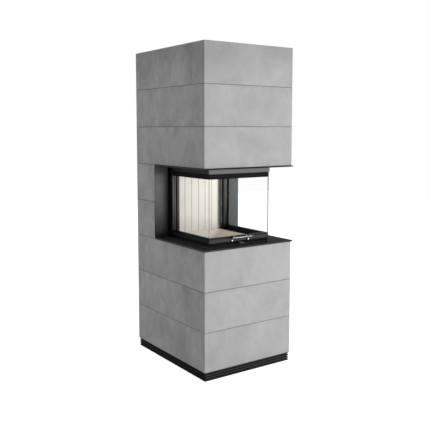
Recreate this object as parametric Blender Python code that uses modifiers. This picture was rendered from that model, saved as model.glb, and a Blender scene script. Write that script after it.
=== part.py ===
"""Three-sided fireplace: a glazed insert with a lifting door in a surround of concrete modules.

Metres, +Z up, origin at the middle of the footprint on the floor, front towards -Y.
"""

import math

import bmesh
import bpy
from mathutils import Matrix

# Surround of concrete modules
SURROUND_WIDTH = 0.680
SURROUND_DEPTH = 0.845
COURSE_HEIGHT = 0.250
COURSE_WALL = 0.045
COURSE_CHAMFER = 0.0015
BASE_COURSES = 3
REAR_COURSES = 2
TOP_COURSES = 3
COVER_THICKNESS = 0.025
COVER_LEDGE = 0.020

# Slatted plinth
PLINTH_HEIGHT = 0.055
PLINTH_INSET = 0.005
PLINTH_WALL = 0.040
PLINTH_SLATS = 4
SLAT_GROOVE_HEIGHT = 0.0065
SLAT_GROOVE_DEPTH = 0.006

# Clearances: between faces that touch, between parts that slide, and past what a cutter cuts
SEAT = 0.0003
RUN_CLEARANCE = 0.0015
OVERRUN = 0.010

# Steel plates and panels round the opening
PLATE_OVERHANG = 0.008
LOWER_PLATE_THICKNESS = 0.010
UPPER_PLATE_THICKNESS = 0.008
PLATE_EDGE = 0.001
LIFT_BAY_DEPTH = 0.258
PANEL_THICKNESS = 0.002
PANEL_RETURN = 0.020
FASCIA_HEIGHT = 0.034
FASCIA_THICKNESS = 0.002
FASCIA_CLEARANCE = 0.002

# Door: three panes between two U-shaped rails, on two rear stiles
DOOR_SETBACK = 0.104
RAILS_BEFORE_REVEAL = 0.048
DOOR_LIFT_HEIGHT = 0.014
LOWER_RAIL_HEIGHT = 0.032
UPPER_RAIL_HEIGHT = 0.0543
RAIL_DEPTH = 0.024
RAIL_CHAMFER = 0.001
BEAD_HEIGHT = 0.009
BEAD_INSET = 0.0015
DOOR_BELOW_UPPER_PLATE = 0.012
PANE_THICKNESS = 0.004
PANE_INSET = 0.0005
STILE_THICKNESS = 0.0097
STILE_DEPTH = 0.054
STILE_WRAP = 0.0045
STILE_EDGE = 0.001
DOOR_TRAVEL = 0.380

# Handle on the lower rail
HANDLE_LENGTH = 0.160
HANDLE_RADIUS = 0.0045
HANDLE_REACH = 0.0335
HANDLE_RISE = 0.028
BRACKET_RADIUS = 0.0032
BRACKET_SPREAD = 0.057
BRACKET_SPLAY = 0.007
BRACKET_FOOT_RISE = 0.0005
BRACKET_TOP_RISE = 0.036
COLLAR_RADIUS = 0.0062
COLLAR_WIDTH = 0.009
BRACKET_FOOT_RADIUS = 0.0055
BRACKET_FOOT_HEIGHT = 0.015

# Sill, firebox base and its air gate
SILL_INSET = 0.003
SILL_WIDTH = 0.0195
BASE_DEPTH_BELOW_PLATE = 0.040
BASE_WALL = 0.004
BASE_FRONT_STRIP = 0.0325
AIR_DECK = 0.004
FLOOR_BRICK_THICKNESS = 0.025
FLOOR_BRICK_PROUD = 0.003
FLOOR_BRICK_CHAMFER = 0.0015
LEDGE_WIDTH = 0.0365
GATE_HALF_LENGTH = 0.150
GATE_THICKNESS = 0.003
GATE_SLOTS = 5
GATE_SLOT_LENGTH = 0.040
GATE_SLOT_WIDTH = 0.010
GATE_TRAVEL = 0.030
LEVER_THICKNESS = 0.0032
LEVER_STEM_WIDTH = 0.012
LEVER_TAB_RADIUS = 0.015
LEVER_REACH = 0.0305
SLOT_CLEARANCE = 0.001
KEEPER_LENGTH = 0.080
KEEPER_BITE = 0.0015
SPIGOT_RADIUS = 0.0625
SPIGOT_WALL = 0.003
SPIGOT_LENGTH = 0.140
SPIGOT_FLANGE = 0.015

# Fire chamber lining and steel casing
LINING_BELOW_HOOD = 0.0047
LINING_THICKNESS = 0.030
LINING_GROOVE_PITCH = 0.056
LINING_GROOVE_WIDTH = 0.003
LINING_GROOVE_DEPTH = 0.0035
LINING_BEFORE_REVEAL = 0.003
COLUMN_WIDTH = 0.0252
COLUMN_WALL = 0.003
LIP_REACH = 0.013
LIP_BEFORE_REVEAL = 0.0245
SHADOW_GAP = 0.011
SHADOW_GAP_DEPTH = 0.010
FLANGE_WIDTH = 0.0082
FLANGE_BEFORE_REVEAL = 0.0275
CASING_WALL = 0.003
CASING_ABOVE_GLASS = 0.014
CASING_DEPTH_BEHIND_REVEAL = 0.038
BAFFLE_THICKNESS = 0.025
BAFFLE_DEPTH = 0.284

# Hood and flue
HOOD_SKIRT = 0.055
HOOD_TAPER = 0.290
HOOD_STUB = 0.040
HOOD_WALL = 0.003
FLUE_RADIUS = 0.088
FLUE_WALL = 0.002
FLUE_BEFORE_REVEAL = 0.2095
FLUE_HOLE_CLEARANCE = 0.006

# Stand frame and lintel frame of square tube, on screwed feet
TUBE = 0.030
POST = 0.026
FRAME_CLEARANCE = 0.002
FOOT_HEIGHT = 0.030
FOOT_PAD_RADIUS = 0.025
FOOT_PAD_HEIGHT = 0.008
FOOT_STUD_RADIUS = 0.006

# Lift: guide rails, pulleys, cables and counterweights
GUIDE_WIDTH = 0.0185
GUIDE_DEPTH = 0.023
GUIDE_WALL = 0.0025
GUIDE_ABOVE_PULLEY = 0.060
PULLEY_ABOVE_RAISED_DOOR = 0.135
PULLEY_PITCH_RADIUS = 0.045
PULLEY_RIM = 0.003
PULLEY_WIDTH = 0.012
PULLEY_GROOVE_WIDTH = 0.006
PULLEY_HUB_RADIUS = 0.012
PULLEY_WEB_WIDTH = 0.006
PULLEY_HOLES = 5
PULLEY_HOLE_RADIUS = 0.008
PIN_RADIUS = 0.004
YOKE_WALL = 0.003
YOKE_CLEARANCE = 0.0007
YOKE_LENGTH = 0.050
YOKE_BELOW_AXLE = 0.035
CABLE_RADIUS = 0.0015
CABLE_SETBACK_FROM_STILE_BACK = 0.009
WEIGHT_WIDTH = 0.040
WEIGHT_DEPTH = 0.090
WEIGHT_HEIGHT = 0.420
WEIGHT_CHAMFER = 0.004
WEIGHT_DROP = 0.100

# Rounding of circles
FINE_STEPS = 32
COARSE_STEPS = 16

# Sizes that follow from the ones above
HALF_WIDTH = SURROUND_WIDTH / 2
HALF_DEPTH = SURROUND_DEPTH / 2
OPENING_FLOOR = PLINTH_HEIGHT + BASE_COURSES * COURSE_HEIGHT
OPENING_TOP = OPENING_FLOOR + REAR_COURSES * COURSE_HEIGHT
TOTAL_HEIGHT = OPENING_TOP + TOP_COURSES * COURSE_HEIGHT
REVEAL_Y = HALF_DEPTH - LIFT_BAY_DEPTH
PLATE_TOP = OPENING_FLOOR + LOWER_PLATE_THICKNESS
UPPER_PLATE_LOW = OPENING_TOP - UPPER_PLATE_THICKNESS
DOOR_HALF = HALF_WIDTH - DOOR_SETBACK
DOOR_FRONT = -HALF_DEPTH + DOOR_SETBACK
DOOR_LOW = PLATE_TOP + DOOR_LIFT_HEIGHT
GLASS_LOW = DOOR_LOW + LOWER_RAIL_HEIGHT
DOOR_HIGH = UPPER_PLATE_LOW - DOOR_BELOW_UPPER_PLATE
GLASS_HIGH = DOOR_HIGH - UPPER_RAIL_HEIGHT
FLANGE_Y = REVEAL_Y - FLANGE_BEFORE_REVEAL
LIP_Y = REVEAL_Y - LIP_BEFORE_REVEAL
LINING_FRONT = REVEAL_Y - LINING_BEFORE_REVEAL
RAIL_BACK = REVEAL_Y - RAILS_BEFORE_REVEAL
STILE_BACK = REVEAL_Y - PANEL_THICKNESS / 4
STILE_FRONT = STILE_BACK - STILE_DEPTH
STILE_OUT = DOOR_HALF + SEAT + STILE_THICKNESS
STILE_IN = DOOR_HALF + SEAT - STILE_WRAP
SILL_OUT = DOOR_HALF - SILL_INSET
SILL_FRONT = DOOR_FRONT + SILL_INSET
SILL_HIGH = DOOR_LOW - SEAT
BASE_HALF = SILL_OUT - SILL_WIDTH - SLOT_CLEARANCE
BASE_FRONT = SILL_FRONT + SILL_WIDTH + RUN_CLEARANCE
BASE_BACK = REVEAL_Y + CASING_DEPTH_BEHIND_REVEAL
BASE_LOW = OPENING_FLOOR - BASE_DEPTH_BELOW_PLATE + SEAT
CHAMBER_HALF = DOOR_HALF - RAIL_DEPTH - RUN_CLEARANCE
FLOOR_HALF = BASE_HALF - LEDGE_WIDTH
FLUE_Y = REVEAL_Y - FLUE_BEFORE_REVEAL
FRAME_HALF_WIDTH = HALF_WIDTH - COURSE_WALL - FRAME_CLEARANCE
FRAME_HALF_DEPTH = HALF_DEPTH - COURSE_WALL - FRAME_CLEARANCE
CASING_TOP = GLASS_HIGH + CASING_ABOVE_GLASS
CASING_HEIGHT = CASING_TOP - SILL_HIGH - SEAT
LINING_HEIGHT = CASING_HEIGHT - LINING_BELOW_HOOD
GUIDE_OUT = STILE_IN - RUN_CLEARANCE
GUIDE_BACK = FLANGE_Y + GUIDE_DEPTH
CABLE_X = (DOOR_HALF + SEAT + STILE_OUT) / 2
CABLE_Y = STILE_BACK - CABLE_SETBACK_FROM_STILE_BACK
PULLEY_Y = CABLE_Y + PULLEY_PITCH_RADIUS
PULLEY_Z = DOOR_HIGH + DOOR_TRAVEL + PULLEY_ABOVE_RAISED_DOOR
GUIDE_HEIGHT = PULLEY_Z + GUIDE_ABOVE_PULLEY - SILL_HIGH - SEAT
PULLEY_OUTER_RADIUS = PULLEY_PITCH_RADIUS + PULLEY_RIM
WEIGHT_Y = PULLEY_Y + PULLEY_PITCH_RADIUS
WEIGHT_TOP = PULLEY_Z - WEIGHT_DROP
HANDLE_Y = DOOR_FRONT - HANDLE_REACH
HANDLE_Z = DOOR_LOW + HANDLE_RISE

# The gate hangs under the front strip of the base, and the lever lies against its underside
GATE_HIGH = SILL_HIGH - AIR_DECK - SEAT
GATE_LOW = GATE_HIGH - GATE_THICKNESS
LEVER_LOW = GATE_LOW - SEAT - LEVER_THICKNESS
GATE_FRONT = BASE_FRONT + BASE_WALL + RUN_CLEARANCE
GATE_BACK = BASE_FRONT + BASE_FRONT_STRIP - BASE_WALL - SLOT_CLEARANCE
GATE_MIDDLE = (GATE_FRONT + GATE_BACK) / 2

SIDES = (("left", -1), ("right", 1))
ACROSS_X = (math.pi / 2, 0, math.pi / 2)
ALONG_X = (0, math.pi / 2, 0)

FINISHES = {
    "concrete": ((0.46, 0.46, 0.45, 1), 0.85, 0.0),
    "black_steel": ((0.012, 0.012, 0.012, 1), 0.35, 0.6),
    "graphite_steel": ((0.11, 0.115, 0.12, 1), 0.4, 0.6),
    "rail_steel": ((0.06, 0.06, 0.062, 1), 0.35, 0.6),
    "plain_steel": ((0.35, 0.35, 0.36, 1), 0.45, 0.9),
    "stainless": ((0.75, 0.75, 0.75, 1), 0.15, 1.0),
    "cast_iron": ((0.05, 0.05, 0.055, 1), 0.6, 0.7),
    "ivory_brick": ((0.78, 0.74, 0.68, 1), 0.9, 0.0),
    "beige_brick": ((0.52, 0.46, 0.38, 1), 0.9, 0.0),
    "glass": ((0.85, 0.92, 0.88, 1), 0.03, 0.0),
}


def clear_scene():
    for obj in list(bpy.data.objects):
        bpy.data.objects.remove(obj)


def new_collection(name):
    collection = bpy.data.collections.new(name)
    bpy.context.scene.collection.children.link(collection)
    return collection


def finish_material(name, finish):
    colour, roughness, metallic = FINISHES[finish]
    material = bpy.data.materials.new(name + "_" + finish)
    material.use_nodes = True
    shader = material.node_tree.nodes["Principled BSDF"]
    shader.inputs["Base Color"].default_value = colour
    shader.inputs["Roughness"].default_value = roughness
    shader.inputs["Metallic"].default_value = metallic
    return material


def add_piece(name, mesh, finish, location=(0, 0, 0), rotation=(0, 0, 0), parent=None):
    mesh.materials.append(finish_material(name, finish))
    piece = bpy.data.objects.new(name, mesh)
    PART.objects.link(piece)
    piece.location = location
    piece.rotation_euler = rotation
    if parent:
        piece.parent = parent
        piece.location = [own - carrier for own, carrier in zip(location, parent.location)]
    return piece


def add_tool(name, mesh, location=(0, 0, 0), rotation=(0, 0, 0)):
    """A cutting or joining shape, left out of the finished part."""
    tool = bpy.data.objects.new(name, mesh)
    CUTTERS.objects.link(tool)
    tool.location = location
    tool.rotation_euler = rotation
    tool.hide_render = True
    tool.display_type = "WIRE"
    return tool


def combine(piece, tool, operation):
    modifier = piece.modifiers.new(operation.lower(), "BOOLEAN")
    modifier.operation = operation
    modifier.object = tool
    modifier.solver = "EXACT"


def soften(piece, width, segments=1):
    modifier = piece.modifiers.new("edges", "BEVEL")
    modifier.width = width
    modifier.segments = segments
    modifier.limit_method = "ANGLE"
    modifier.angle_limit = math.radians(40)


def axis_empty(name, location):
    empty = bpy.data.objects.new(name, None)
    PART.objects.link(empty)
    empty.location = location
    return empty


def mesh_from(bm, name):
    bmesh.ops.recalc_face_normals(bm, faces=bm.faces)
    mesh = bpy.data.meshes.new(name)
    bm.to_mesh(mesh)
    bm.free()
    return mesh


def box_mesh(name, size):
    bm = bmesh.new()
    bmesh.ops.create_cube(bm, size=1)
    bmesh.ops.scale(bm, vec=size, verts=bm.verts)
    return mesh_from(bm, name)


def middle(low, high):
    return [(a + b) / 2 for a, b in zip(low, high)]


def span(low, high):
    return [b - a for a, b in zip(low, high)]


def box_piece(name, low, high, finish, parent=None):
    return add_piece(name, box_mesh(name, span(low, high)), finish, middle(low, high), parent=parent)


def box_tool(name, low, high):
    return add_tool(name, box_mesh(name, span(low, high)), middle(low, high))


def sided(side, inner, outer):
    """The low and high x of a piece between two distances from the middle plane."""
    return (inner, outer) if side > 0 else (-outer, -inner)


def swept_rectangle(half_width, half_depth, profile):
    """A closed profile of (inset, height) points taken round a rectangle with mitred corners."""
    bm = bmesh.new()
    verts = [bm.verts.new((half_width - inset, half_width - inset, height)) for inset, height in profile]
    edges = [bm.edges.new(pair) for pair in zip(verts, verts[1:] + verts[:1])]
    bmesh.ops.spin(
        bm,
        geom=verts + edges,
        axis=(0, 0, 1),
        cent=(0, 0, 0),
        angle=math.tau,
        steps=4,
        use_merge=True,
    )
    for vert in bm.verts:
        vert.co.y += (half_depth - half_width) * math.copysign(1, vert.co.y)
    return bm


def frame_mesh(name, half_width, half_depth, profile):
    return mesh_from(swept_rectangle(half_width, half_depth, profile), name)


def channel_mesh(name, half_width, closed_y, open_y, profile):
    """The same sweep round three sides: a U whose open end lies at the mesh's own y of zero."""
    bm = swept_rectangle(half_width, abs(closed_y - open_y), profile)
    away = math.copysign(1, open_y - closed_y)
    bmesh.ops.bisect_plane(
        bm,
        geom=bm.verts[:] + bm.edges[:] + bm.faces[:],
        plane_co=(0, 0, 0),
        plane_no=(0, away, 0),
        clear_outer=True,
    )
    rims = [edge for edge in bm.edges if edge.is_boundary]
    bmesh.ops.holes_fill(bm, edges=rims, sides=0)
    return mesh_from(bm, name)


def bar_profile(width, low, high, chamfer=0):
    """A rectangular section, its outer corners chamfered where the chamfer isn't zero."""
    if not chamfer:
        return [(0, low), (0, high), (width, high), (width, low)]
    return [
        (chamfer, low),
        (0, low + chamfer),
        (0, high - chamfer),
        (chamfer, high),
        (width, high),
        (width, low),
    ]


def outline_mesh(name, outlines, thickness):
    """A flat outline with its holes, given a thickness about its own plane."""
    curve = bpy.data.curves.new(name, "CURVE")
    curve.dimensions = "2D"
    curve.fill_mode = "BOTH"
    curve.extrude = thickness / 2
    for outline in outlines:
        spline = curve.splines.new("POLY")
        spline.points.add(len(outline) - 1)
        for point, place in zip(spline.points, outline):
            point.co = (place[0], place[1], 0, 1)
        spline.use_cyclic_u = True
    return mesh_of_curve(name, curve)


def tube_curve(name, path, radius, resolution=2):
    """A round bar along a path, its ends closed."""
    curve = bpy.data.curves.new(name, "CURVE")
    curve.dimensions = "3D"
    curve.bevel_depth = radius
    curve.bevel_resolution = resolution
    curve.use_fill_caps = True
    spline = curve.splines.new("POLY")
    spline.points.add(len(path) - 1)
    for point, place in zip(spline.points, path):
        point.co = (*place, 1)
    return curve


def mesh_of_curve(name, curve):
    carrier = bpy.data.objects.new(name, curve)
    bpy.context.scene.collection.objects.link(carrier)
    evaluated = carrier.evaluated_get(bpy.context.evaluated_depsgraph_get())
    bm = bmesh.new()
    bm.from_mesh(bpy.data.meshes.new_from_object(evaluated))
    bpy.data.objects.remove(carrier)
    bmesh.ops.remove_doubles(bm, verts=bm.verts, dist=SEAT / 30)
    return mesh_from(bm, name)


def circle(radius, steps, centre=(0, 0)):
    turns = [math.tau * step / steps for step in range(steps)]
    return [(centre[0] + radius * math.cos(turn), centre[1] + radius * math.sin(turn)) for turn in turns]


def rectangle(low, high):
    return [low, (high[0], low[1]), high, (low[0], high[1])]


def turned_piece(name, profile, finish, location, rotation=(0, 0, 0), parent=None, steps=FINE_STEPS):
    """A profile of (radius, height) points, outer side from top to bottom, turned about Z."""
    bm = bmesh.new()
    verts = [bm.verts.new((radius, 0, height)) for radius, height in profile]
    closed = profile[0][0] > 0
    ends = verts[:1] if closed else []
    for first, second in zip(verts, verts[1:] + ends):
        bm.edges.new((first, second))
    mesh = bpy.data.meshes.new(name)
    bm.to_mesh(mesh)
    bm.free()
    piece = add_piece(name, mesh, finish, location, rotation, parent)
    screw = piece.modifiers.new("turn", "SCREW")
    screw.axis = "Z"
    screw.steps = steps
    screw.render_steps = steps
    screw.use_merge_vertices = True
    screw.merge_threshold = SEAT / 30
    return piece


def course_profile(low, high):
    return bar_profile(COURSE_WALL, low + SEAT / 2, high - SEAT / 2, COURSE_CHAMFER)


def make_plinth():
    """A black ring of four slats, a few millimetres in from the concrete above it."""
    top = PLINTH_HEIGHT - SEAT / 2
    pitch = (top + SLAT_GROOVE_HEIGHT) / PLINTH_SLATS
    profile = []
    for slat in range(PLINTH_SLATS):
        low = slat * pitch
        high = low + pitch - SLAT_GROOVE_HEIGHT
        if slat:
            profile.append((SLAT_GROOVE_DEPTH, low))
        profile += [(0, low), (0, high)]
        if slat < PLINTH_SLATS - 1:
            profile.append((SLAT_GROOVE_DEPTH, high))
    profile += [(PLINTH_WALL, top), (PLINTH_WALL, 0)]
    mesh = frame_mesh("plinth", HALF_WIDTH - PLINTH_INSET, HALF_DEPTH - PLINTH_INSET, profile)
    add_piece("plinth", mesh, "black_steel")


def make_courses():
    """Full rings below and above the opening, and U-shaped ones behind it."""
    for number in range(BASE_COURSES):
        name = f"base_course_{number + 1}"
        mesh = frame_mesh(name, HALF_WIDTH, HALF_DEPTH, course_profile(0, COURSE_HEIGHT))
        add_piece(name, mesh, "concrete", (0, 0, PLINTH_HEIGHT + number * COURSE_HEIGHT))
    open_y = REVEAL_Y + PANEL_THICKNESS + SEAT
    for number in range(REAR_COURSES):
        name = f"rear_course_{number + 1}"
        mesh = channel_mesh(name, HALF_WIDTH, HALF_DEPTH, open_y, course_profile(0, COURSE_HEIGHT))
        add_piece(name, mesh, "concrete", (0, open_y, OPENING_FLOOR + number * COURSE_HEIGHT))
    for number in range(TOP_COURSES):
        name = f"top_course_{number + 1}"
        profile = course_profile(0, COURSE_HEIGHT)
        if number == TOP_COURSES - 1:
            inner_top = profile.index((COURSE_WALL, COURSE_HEIGHT - SEAT / 2))
            ledge = COURSE_HEIGHT - COVER_THICKNESS - SEAT
            rebate = [(COVER_LEDGE, COURSE_HEIGHT - SEAT / 2), (COVER_LEDGE, ledge), (COURSE_WALL, ledge)]
            profile[inner_top : inner_top + 1] = rebate
        mesh = frame_mesh(name, HALF_WIDTH, HALF_DEPTH, profile)
        add_piece(name, mesh, "concrete", (0, 0, OPENING_TOP + number * COURSE_HEIGHT))


def make_top_cover():
    """A concrete slab let into the last course, with a hole for the flue."""
    half_width = HALF_WIDTH - COVER_LEDGE - SEAT
    half_depth = HALF_DEPTH - COVER_LEDGE - SEAT
    outer = rectangle((-half_width, -half_depth), (half_width, half_depth))
    hole = circle(FLUE_RADIUS + FLUE_WALL + FLUE_HOLE_CLEARANCE, FINE_STEPS, (0, FLUE_Y))
    thickness = COVER_THICKNESS - SEAT / 2
    mesh = outline_mesh("top_cover", [outer, hole], thickness)
    add_piece("top_cover", mesh, "concrete", (0, 0, TOTAL_HEIGHT - SEAT / 2 - thickness / 2))


def make_plates():
    """The black plates under and over the opening, each slotted from behind for the insert."""
    half_width = HALF_WIDTH + PLATE_OVERHANG
    front = -HALF_DEPTH - PLATE_OVERHANG
    back = REVEAL_Y + PANEL_THICKNESS
    slot_half = BASE_HALF + SLOT_CLEARANCE
    slot_front = BASE_FRONT - SLOT_CLEARANCE
    lower = [
        (-half_width, back),
        (-half_width, front),
        (half_width, front),
        (half_width, back),
        (slot_half, back),
        (slot_half, slot_front),
        (-slot_half, slot_front),
        (-slot_half, back),
    ]
    thickness = LOWER_PLATE_THICKNESS - SEAT
    piece = add_piece(
        "lower_plate",
        outline_mesh("lower_plate", [lower], thickness),
        "black_steel",
        (0, 0, PLATE_TOP - SEAT / 2 - thickness / 2),
    )
    soften(piece, PLATE_EDGE)
    shaft_half = DOOR_HALF + FASCIA_CLEARANCE + PLATE_EDGE / 2
    shaft_front = DOOR_FRONT - FASCIA_CLEARANCE - PLATE_EDGE / 2
    stile_half = STILE_OUT + FASCIA_CLEARANCE
    stile_front = STILE_FRONT - FASCIA_CLEARANCE
    upper = [
        (-half_width, back),
        (-half_width, front),
        (half_width, front),
        (half_width, back),
        (stile_half, back),
        (stile_half, stile_front),
        (shaft_half, stile_front),
        (shaft_half, shaft_front),
        (-shaft_half, shaft_front),
        (-shaft_half, stile_front),
        (-stile_half, stile_front),
        (-stile_half, back),
    ]
    thickness = UPPER_PLATE_THICKNESS - SEAT
    piece = add_piece(
        "upper_plate",
        outline_mesh("upper_plate", [upper], thickness),
        "black_steel",
        (0, 0, OPENING_TOP - SEAT / 2 - thickness / 2),
    )
    soften(piece, PLATE_EDGE)


def make_reveal_panels():
    """Folded sheets that close the front of the concrete behind the opening, beside the insert."""
    low = PLATE_TOP + SEAT
    high = UPPER_PLATE_LOW - SEAT
    back = REVEAL_Y + PANEL_THICKNESS
    fold = back + PANEL_RETURN
    for side_name, side in SIDES:
        name = "reveal_panel_" + side_name
        inner = STILE_OUT + SEAT
        outline = [
            (inner, REVEAL_Y),
            (HALF_WIDTH + PLATE_OVERHANG, REVEAL_Y),
            (HALF_WIDTH + PLATE_OVERHANG, back),
            (inner + PANEL_THICKNESS, back),
            (inner + PANEL_THICKNESS, fold),
            (inner, fold),
        ]
        mesh = outline_mesh(name, [[(side * x, y) for x, y in outline]], high - low)
        add_piece(name, mesh, "graphite_steel", (0, 0, (low + high) / 2))


def make_fascia():
    """The strip that hangs from the upper plate and covers the gap over the door."""
    high = UPPER_PLATE_LOW - SEAT
    half_width = DOOR_HALF + FASCIA_CLEARANCE + FASCIA_THICKNESS
    front = DOOR_FRONT - FASCIA_CLEARANCE - FASCIA_THICKNESS
    open_y = STILE_FRONT - FASCIA_CLEARANCE
    profile = bar_profile(FASCIA_THICKNESS, high - FASCIA_HEIGHT, high)
    mesh = channel_mesh("fascia", half_width, front, open_y, profile)
    add_piece("fascia", mesh, "graphite_steel", (0, open_y, 0))


def tube_profile(low):
    return bar_profile(TUBE, low, low + TUBE)


def make_stand_frame():
    """A welded frame of square tube: feet ring, four posts, a deck for the insert, two bearers."""
    deck_high = BASE_LOW - SEAT
    deck_low = deck_high - TUBE
    mesh = frame_mesh("stand_frame", FRAME_HALF_WIDTH, FRAME_HALF_DEPTH, tube_profile(FOOT_HEIGHT))
    frame = add_piece("stand_frame", mesh, "plain_steel")
    deck = frame_mesh("stand_deck", FRAME_HALF_WIDTH, FRAME_HALF_DEPTH, tube_profile(deck_low))
    combine(frame, add_tool("stand_deck", deck), "UNION")
    margin = (TUBE - POST) / 2
    post_top = {"front": deck_low + margin, "rear": OPENING_TOP}
    for side_name, side in SIDES:
        low_x, high_x = sided(side, FRAME_HALF_WIDTH - TUBE + margin, FRAME_HALF_WIDTH - margin)
        for place, end in (("front", -1), ("rear", 1)):
            low_y, high_y = sided(end, FRAME_HALF_DEPTH - TUBE + margin, FRAME_HALF_DEPTH - margin)
            low = (low_x, low_y, FOOT_HEIGHT + margin)
            post = box_tool(f"post_{place}_{side_name}", low, (high_x, high_y, post_top[place]))
            combine(frame, post, "UNION")
    reach = FRAME_HALF_WIDTH - TUBE / 2
    for place, near in (("front", BASE_FRONT), ("rear", BASE_BACK - TUBE)):
        low = (-reach, near, deck_high - POST - margin)
        bearer = box_tool("bearer_" + place, low, (reach, near + TUBE, deck_high - SEAT / 2))
        combine(frame, bearer, "UNION")


def make_lintel_frame():
    """The ring of tube that carries the courses above the opening."""
    low = OPENING_TOP + SEAT
    mesh = frame_mesh("lintel_frame", FRAME_HALF_WIDTH, FRAME_HALF_DEPTH, tube_profile(low))
    add_piece("lintel_frame", mesh, "plain_steel")


def make_feet():
    stud_top = FOOT_HEIGHT - SEAT
    profile = [
        (0, stud_top),
        (FOOT_STUD_RADIUS, stud_top),
        (FOOT_STUD_RADIUS, FOOT_PAD_HEIGHT),
        (FOOT_PAD_RADIUS, FOOT_PAD_HEIGHT / 2),
        (FOOT_PAD_RADIUS, 0),
        (0, 0),
    ]
    corner_x = FRAME_HALF_WIDTH - TUBE
    corner_y = FRAME_HALF_DEPTH - TUBE
    places = [(x, y) for y in (-corner_y, corner_y) for x in (-corner_x, corner_x)]
    for number, (x, y) in enumerate(places, 1):
        turned_piece(f"levelling_foot_{number}", profile, "plain_steel", (x, y, 0), steps=COARSE_STEPS)


def lever_slot_tool(name):
    half = LEVER_STEM_WIDTH / 2 + GATE_TRAVEL + SLOT_CLEARANCE
    low = (-half, SILL_FRONT - OVERRUN, LEVER_LOW - SLOT_CLEARANCE)
    high = (half, BASE_FRONT + BASE_WALL + SLOT_CLEARANCE, LEVER_LOW + LEVER_THICKNESS + SLOT_CLEARANCE)
    return box_tool(name, low, high)


def gate_slots():
    pitch = 2 * GATE_HALF_LENGTH / GATE_SLOTS
    first = -GATE_HALF_LENGTH + pitch / 2
    return [first + number * pitch for number in range(GATE_SLOTS)]


def make_sill():
    """The fixed black strip round three sides, under the door, with the lever's slot."""
    open_y = STILE_BACK
    profile = bar_profile(SILL_WIDTH, PLATE_TOP + SEAT, SILL_HIGH)
    mesh = channel_mesh("sill_frame", SILL_OUT, SILL_FRONT, open_y, profile)
    sill = add_piece("sill_frame", mesh, "black_steel", (0, open_y, 0))
    combine(sill, lever_slot_tool("sill_lever_slot"), "DIFFERENCE")


def make_firebox_base():
    """The air box under the fire: a steel tray for the bricks over one hollow, with air slots."""
    low = (-BASE_HALF, BASE_FRONT, BASE_LOW)
    high = (BASE_HALF, BASE_BACK, SILL_HIGH)
    base = box_piece("firebox_base", low, high, "black_steel")
    strip_back = BASE_FRONT + BASE_FRONT_STRIP
    recess_low = SILL_HIGH + SEAT + FLOOR_BRICK_PROUD - FLOOR_BRICK_THICKNESS - SEAT
    recess_half = FLOOR_HALF + SLOT_CLEARANCE
    recess = box_tool(
        "brick_recess",
        (-recess_half, strip_back, recess_low),
        (recess_half, LINING_FRONT, SILL_HIGH + OVERRUN),
    )
    inner_half = BASE_HALF - BASE_WALL
    hollow = box_tool(
        "air_hollow",
        (-inner_half, BASE_FRONT + BASE_WALL, BASE_LOW + BASE_WALL),
        (inner_half, BASE_BACK - BASE_WALL, recess_low - BASE_WALL),
    )
    gate_space = box_tool(
        "gate_space",
        (-inner_half, BASE_FRONT + BASE_WALL, BASE_LOW + 2 * BASE_WALL),
        (inner_half, strip_back - BASE_WALL, SILL_HIGH - AIR_DECK),
    )
    inlet_radius = SPIGOT_RADIUS - SPIGOT_WALL
    inlet = add_tool(
        "air_inlet",
        outline_mesh("air_inlet", [circle(inlet_radius, FINE_STEPS)], 2 * OVERRUN),
        (0, FLUE_Y, BASE_LOW),
    )
    for tool in (recess, hollow, gate_space, inlet):
        combine(base, tool, "DIFFERENCE")
    for number, x in enumerate(gate_slots(), 1):
        slot_low = (x - GATE_SLOT_LENGTH / 2, GATE_MIDDLE - GATE_SLOT_WIDTH / 2, GATE_LOW)
        slot_high = (x + GATE_SLOT_LENGTH / 2, GATE_MIDDLE + GATE_SLOT_WIDTH / 2, SILL_HIGH + OVERRUN)
        combine(base, box_tool(f"air_slot_{number}", slot_low, slot_high), "DIFFERENCE")
    combine(base, lever_slot_tool("base_lever_slot"), "DIFFERENCE")
    keeper_start = LEVER_STEM_WIDTH / 2 + GATE_TRAVEL + OVERRUN
    for side_name, side in SIDES:
        low_x, high_x = sided(side, keeper_start, keeper_start + KEEPER_LENGTH)
        front = (BASE_FRONT + BASE_WALL / 2, GATE_FRONT + KEEPER_BITE)
        rear = (GATE_BACK - KEEPER_BITE, strip_back - BASE_WALL / 2)
        for place, (near, far) in (("front", front), ("rear", rear)):
            keeper = box_tool(
                f"gate_keeper_{place}_{side_name}",
                (low_x, near, GATE_LOW - SEAT - LEVER_THICKNESS),
                (high_x, far, GATE_LOW - SEAT),
            )
            combine(base, keeper, "UNION")


def make_air_spigot():
    """The outside-air connection under the base."""
    top = BASE_LOW - SEAT
    flange_low = top - SPIGOT_WALL
    outer = SPIGOT_RADIUS
    inner = SPIGOT_RADIUS - SPIGOT_WALL
    profile = [
        (outer + SPIGOT_FLANGE, top),
        (outer + SPIGOT_FLANGE, flange_low),
        (outer, flange_low),
        (outer, top - SPIGOT_LENGTH),
        (inner, top - SPIGOT_LENGTH),
        (inner, top),
    ]
    turned_piece("air_spigot", profile, "plain_steel", (0, FLUE_Y, 0))


def make_floor_bricks():
    low = SILL_HIGH + SEAT + FLOOR_BRICK_PROUD - FLOOR_BRICK_THICKNESS
    high = low + FLOOR_BRICK_THICKNESS
    front = BASE_FRONT + BASE_FRONT_STRIP + SEAT
    back = LINING_FRONT - SEAT
    half_length = (back - front) / 2
    for number in range(2):
        near = front + number * half_length
        name = f"floor_brick_{number + 1}"
        brick_low = (-FLOOR_HALF, near + SEAT / 2, low)
        brick_high = (FLOOR_HALF, near + half_length - SEAT / 2, high)
        brick = box_piece(name, brick_low, brick_high, "beige_brick")
        soften(brick, FLOOR_BRICK_CHAMFER)


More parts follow.
